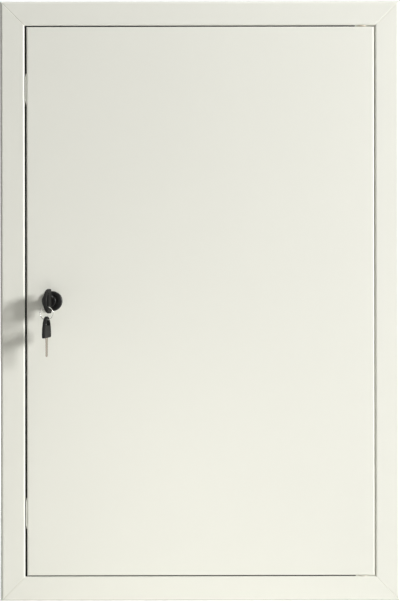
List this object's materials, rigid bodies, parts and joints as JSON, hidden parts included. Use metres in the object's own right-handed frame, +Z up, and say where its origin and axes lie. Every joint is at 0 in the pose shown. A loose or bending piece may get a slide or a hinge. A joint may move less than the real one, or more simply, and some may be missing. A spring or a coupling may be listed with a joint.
{
  "type": "access panel door",
  "caption": "Steel access panel for a wall opening: mitred folded frame, flush hinged leaf, cam lock with its key, and a spare key on a wire ring.",
  "frame": {"origin": "middle of the bottom rail's foot on the wall plane, 5 mm above the frame's lower edge", "axes": "+Z up, +Y into the wall, +X to the right as seen from the room"},
  "size_m": [0.4, 0.1111, 0.6],
  "materials": {
    "powder_coat": "warm white powder coat, fine texture, satin",
    "zinc_steel": "zinc plated",
    "bush_nylon": "natural nylon",
    "buffer_rubber": "matt",
    "lock_black": "black lacquer, semi-gloss",
    "plug_black": "black lacquer, semi-gloss",
    "key_plastic": "moulded, satin",
    "key_steel": "nickel plated",
    "ring_wire": "bright wire"
  },
  "bodies": {
    "frame": {"bottom_rail": "powder_coat", "top_rail": "powder_coat", "lock_jamb": "powder_coat", "hinge_jamb": "powder_coat", "lower_left_anchor": "powder_coat", "lower_right_anchor": "powder_coat", "upper_left_anchor": "powder_coat", "upper_right_anchor": "powder_coat", "upper_pivot_bush": "bush_nylon", "lower_pivot_bush": "bush_nylon", "upper_door_buffer": "buffer_rubber", "lower_door_buffer": "buffer_rubber"},
    "leaf": {"leaf_panel": "powder_coat", "leaf_stiffener": "powder_coat", "upper_edge_pad": "powder_coat", "lower_edge_pad": "powder_coat", "upper_pivot_plate": "powder_coat", "lower_pivot_plate": "powder_coat", "upper_pivot_pin": "zinc_steel", "lower_pivot_pin": "zinc_steel", "lock_housing": "lock_black", "lock_nut": "zinc_steel"},
    "lock_cylinder": {"lock_plug": "plug_black", "plug_clip": "zinc_steel", "lock_cam": "zinc_steel", "cam_washer": "zinc_steel", "cam_screw": "zinc_steel", "key_head": "key_plastic", "key_blade": "key_steel"},
    "ring": {"key_ring": "ring_wire"},
    "spare_key": {"spare_key_head": "key_plastic", "spare_key_blade": "key_steel"}
  },
  "joints": [
    {"name": "leaf_swing", "type": "hinge", "parent": "frame", "child": "leaf", "pos_m": [0.1621, -0.004, 0], "axis": [0, 0, 1], "range_deg": [0, 110]},
    {"name": "lock_turn", "type": "hinge", "parent": "leaf", "child": "lock_cylinder", "pos_m": [-0.1472, -0.009, 0.295], "axis": [0, 1, 0], "range_deg": [0, 90]},
    {"name": "ring_turn", "type": "hinge", "parent": "lock_cylinder", "child": "ring", "pos_m": [-0.1472, -0.0325, 0.28687], "axis": [0, 1, 0], "range_deg": [-95, 95]},
    {"name": "spare_key_swing", "type": "hinge", "parent": "ring", "child": "spare_key", "pos_m": [-0.1472, -0.0325, 0.27697], "axis": [1, 0, 0], "range_deg": [-60, 30]}
  ]
}
